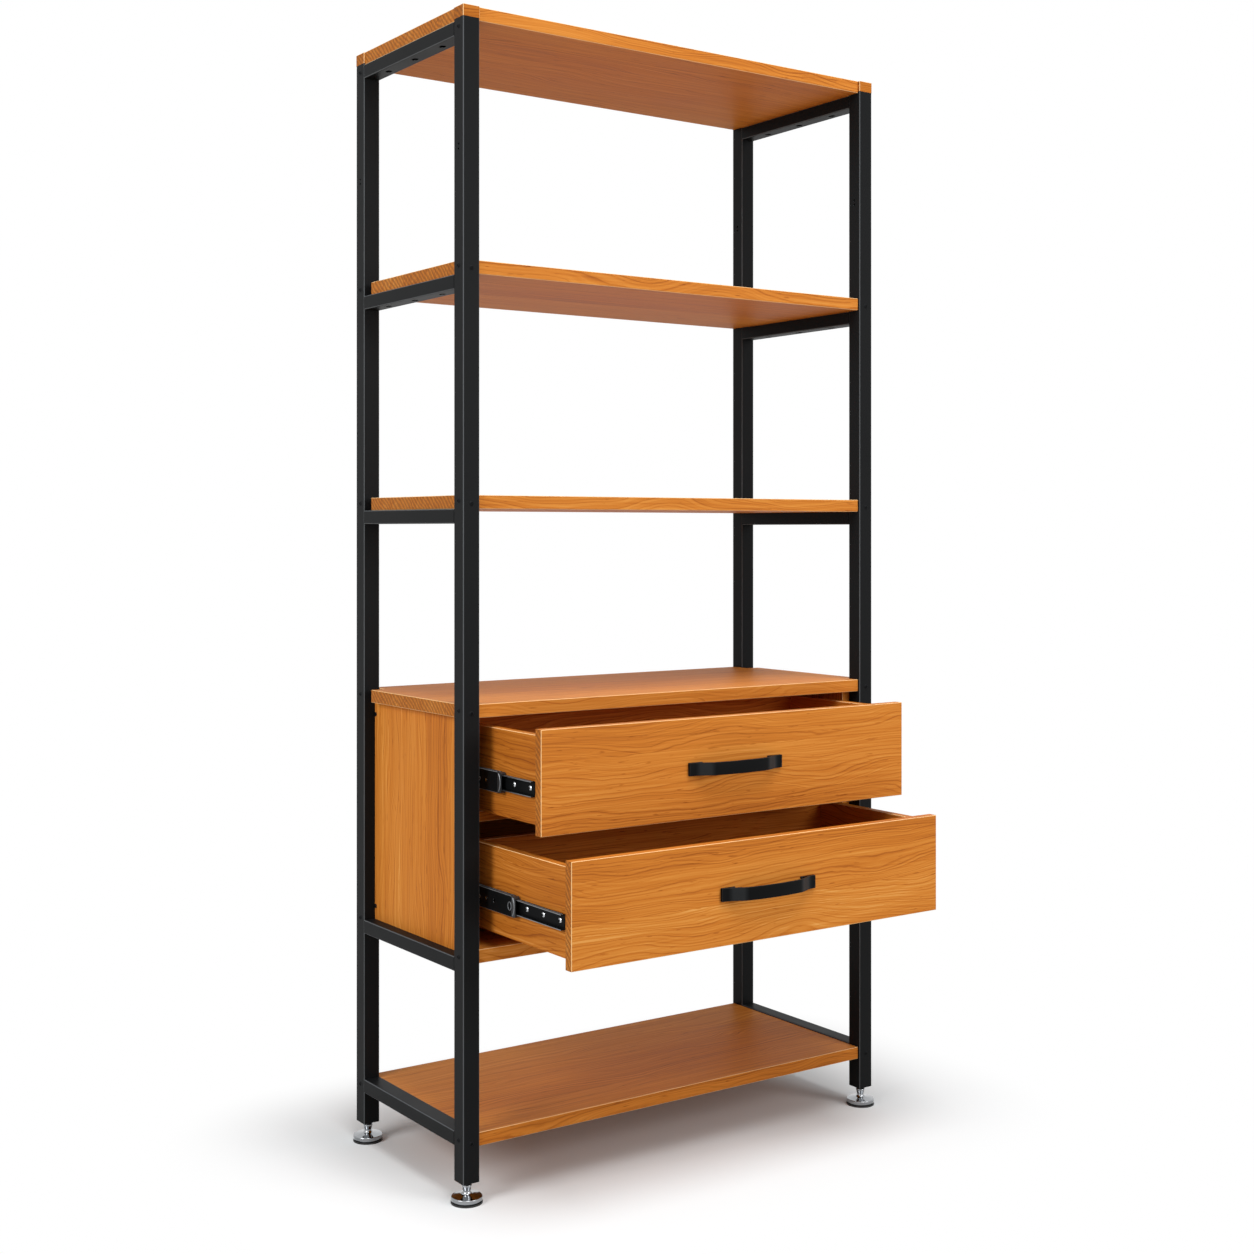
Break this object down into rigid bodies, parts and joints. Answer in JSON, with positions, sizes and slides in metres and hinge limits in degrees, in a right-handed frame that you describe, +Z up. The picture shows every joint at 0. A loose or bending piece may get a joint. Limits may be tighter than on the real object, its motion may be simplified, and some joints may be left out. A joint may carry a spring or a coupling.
{
  "type": "bookcase with bottom drawers",
  "caption": "Tall open bookcase of black square steel tube with solid wood boards, a low cabinet of full-extension drawers and levelling feet",
  "frame": {"origin": "on the floor at the middle of the four levelling feet", "axes": "+X to the right seen from the drawers, +Y to the back, +Z up"},
  "size_m": [0.941, 0.6737, 2.008],
  "materials": {
    "alder_boards": "oiled, straight and cathedral grain",
    "alder_drawer_boxes": "oiled, straight grain",
    "black_frame_steel": "satin powder coat",
    "black_handles_and_screws": "matt powder coat",
    "chrome_feet": "polished",
    "foot_rubber": "matt",
    "black_slide_steel": "satin dip coat",
    "zinc_steel": "bright zinc",
    "black_plastic": "matt"
  },
  "bodies": {
    "frame": {"post_front_left": "black_frame_steel", "post_front_right": "black_frame_steel", "post_back_left": "black_frame_steel", "post_back_right": "black_frame_steel", "corner_blocks": "alder_boards", "crossbar_top_left": "black_frame_steel", "crossbar_top_right": "black_frame_steel", "crossbar_upper_left": "black_frame_steel", "crossbar_upper_right": "black_frame_steel", "crossbar_middle_left": "black_frame_steel", "crossbar_middle_right": "black_frame_steel", "crossbar_cabinet_left": "black_frame_steel", "crossbar_cabinet_right": "black_frame_steel", "crossbar_bottom_left": "black_frame_steel", "crossbar_bottom_right": "black_frame_steel", "post_screws": "black_handles_and_screws", "top_shelf": "alder_boards", "upper_shelf": "alder_boards", "middle_shelf": "alder_boards", "cabinet_top": "alder_boards", "cabinet_floor": "alder_boards", "bottom_shelf": "alder_boards", "cabinet_side_left": "alder_boards", "cabinet_side_right": "alder_boards", "drawer_divider": "alder_boards", "cabinet_back": "alder_boards", "slide_cabinet_members": "black_slide_steel", "frame_screws": "black_handles_and_screws"},
    "upper_drawer": {"upper_drawer_front": "alder_boards", "upper_drawer_side_left": "alder_drawer_boxes", "upper_drawer_side_right": "alder_drawer_boxes", "upper_drawer_back": "alder_drawer_boxes", "upper_drawer_bottom": "alder_drawer_boxes", "upper_drawer_handle": "black_handles_and_screws", "upper_drawer_slides": "black_slide_steel", "upper_drawer_screws": "zinc_steel"},
    "upper_middle_members": {"upper_slide_middle_members": "black_slide_steel", "upper_slide_bumpers": "black_plastic"},
    "upper_outer_cages": {"upper_outer_ball_cages": "zinc_steel"},
    "upper_inner_cages": {"upper_inner_ball_cages": "zinc_steel"},
    "lower_drawer": {"lower_drawer_front": "alder_boards", "lower_drawer_side_left": "alder_drawer_boxes", "lower_drawer_side_right": "alder_drawer_boxes", "lower_drawer_back": "alder_drawer_boxes", "lower_drawer_bottom": "alder_drawer_boxes", "lower_drawer_handle": "black_handles_and_screws", "lower_drawer_slides": "black_slide_steel", "lower_drawer_screws": "zinc_steel"},
    "lower_middle_members": {"lower_slide_middle_members": "black_slide_steel", "lower_slide_bumpers": "black_plastic"},
    "lower_outer_cages": {"lower_outer_ball_cages": "zinc_steel"},
    "lower_inner_cages": {"lower_inner_ball_cages": "zinc_steel"},
    "foot_front_left": {"foot_front_left": "chrome_feet", "foot_pad_front_left": "foot_rubber"},
    "foot_front_right": {"foot_front_right": "chrome_feet", "foot_pad_front_right": "foot_rubber"},
    "foot_back_left": {"foot_back_left": "chrome_feet", "foot_pad_back_left": "foot_rubber"},
    "foot_back_right": {"foot_back_right": "chrome_feet", "foot_pad_back_right": "foot_rubber"}
  },
  "joints": [
    {"name": "upper_drawer_slide", "type": "slide", "parent": "frame", "child": "upper_drawer", "axis": [0, -1, 0], "range_m": [-0.18, 0.12]},
    {"name": "upper_middle_members_slide", "type": "slide", "parent": "frame", "child": "upper_middle_members", "axis": [0, -1, 0], "range_m": [-0.09, 0.06]},
    {"name": "upper_outer_cages_slide", "type": "slide", "parent": "frame", "child": "upper_outer_cages", "axis": [0, -1, 0], "range_m": [-0.045, 0.03]},
    {"name": "upper_inner_cages_slide", "type": "slide", "parent": "frame", "child": "upper_inner_cages", "axis": [0, -1, 0], "range_m": [-0.135, 0.09]},
    {"name": "lower_drawer_slide", "type": "slide", "parent": "frame", "child": "lower_drawer", "axis": [0, -1, 0], "range_m": [-0.27, 0.03]},
    {"name": "lower_middle_members_slide", "type": "slide", "parent": "frame", "child": "lower_middle_members", "axis": [0, -1, 0], "range_m": [-0.135, 0.015]},
    {"name": "lower_outer_cages_slide", "type": "slide", "parent": "frame", "child": "lower_outer_cages", "axis": [0, -1, 0], "range_m": [-0.0675, 0.0075]},
    {"name": "lower_inner_cages_slide", "type": "slide", "parent": "frame", "child": "lower_inner_cages", "axis": [0, -1, 0], "range_m": [-0.2025, 0.0225]},
    {"name": "foot_front_left_screw", "type": "slide", "parent": "frame", "child": "foot_front_left", "axis": [0, 0, -1], "range_m": [0, 0.012]},
    {"name": "foot_front_right_screw", "type": "slide", "parent": "frame", "child": "foot_front_right", "axis": [0, 0, -1], "range_m": [0, 0.012]},
    {"name": "foot_back_left_screw", "type": "slide", "parent": "frame", "child": "foot_back_left", "axis": [0, 0, -1], "range_m": [0, 0.012]},
    {"name": "foot_back_right_screw", "type": "slide", "parent": "frame", "child": "foot_back_right", "axis": [0, 0, -1], "range_m": [0, 0.012]}
  ],
  "couplings": [
    {"joint": "upper_middle_members_slide", "follows": "upper_drawer_slide", "ratio": 0.5},
    {"joint": "upper_outer_cages_slide", "follows": "upper_drawer_slide", "ratio": 0.25},
    {"joint": "upper_inner_cages_slide", "follows": "upper_drawer_slide", "ratio": 0.75},
    {"joint": "lower_middle_members_slide", "follows": "lower_drawer_slide", "ratio": 0.5},
    {"joint": "lower_outer_cages_slide", "follows": "lower_drawer_slide", "ratio": 0.25},
    {"joint": "lower_inner_cages_slide", "follows": "lower_drawer_slide", "ratio": 0.75}
  ]
}
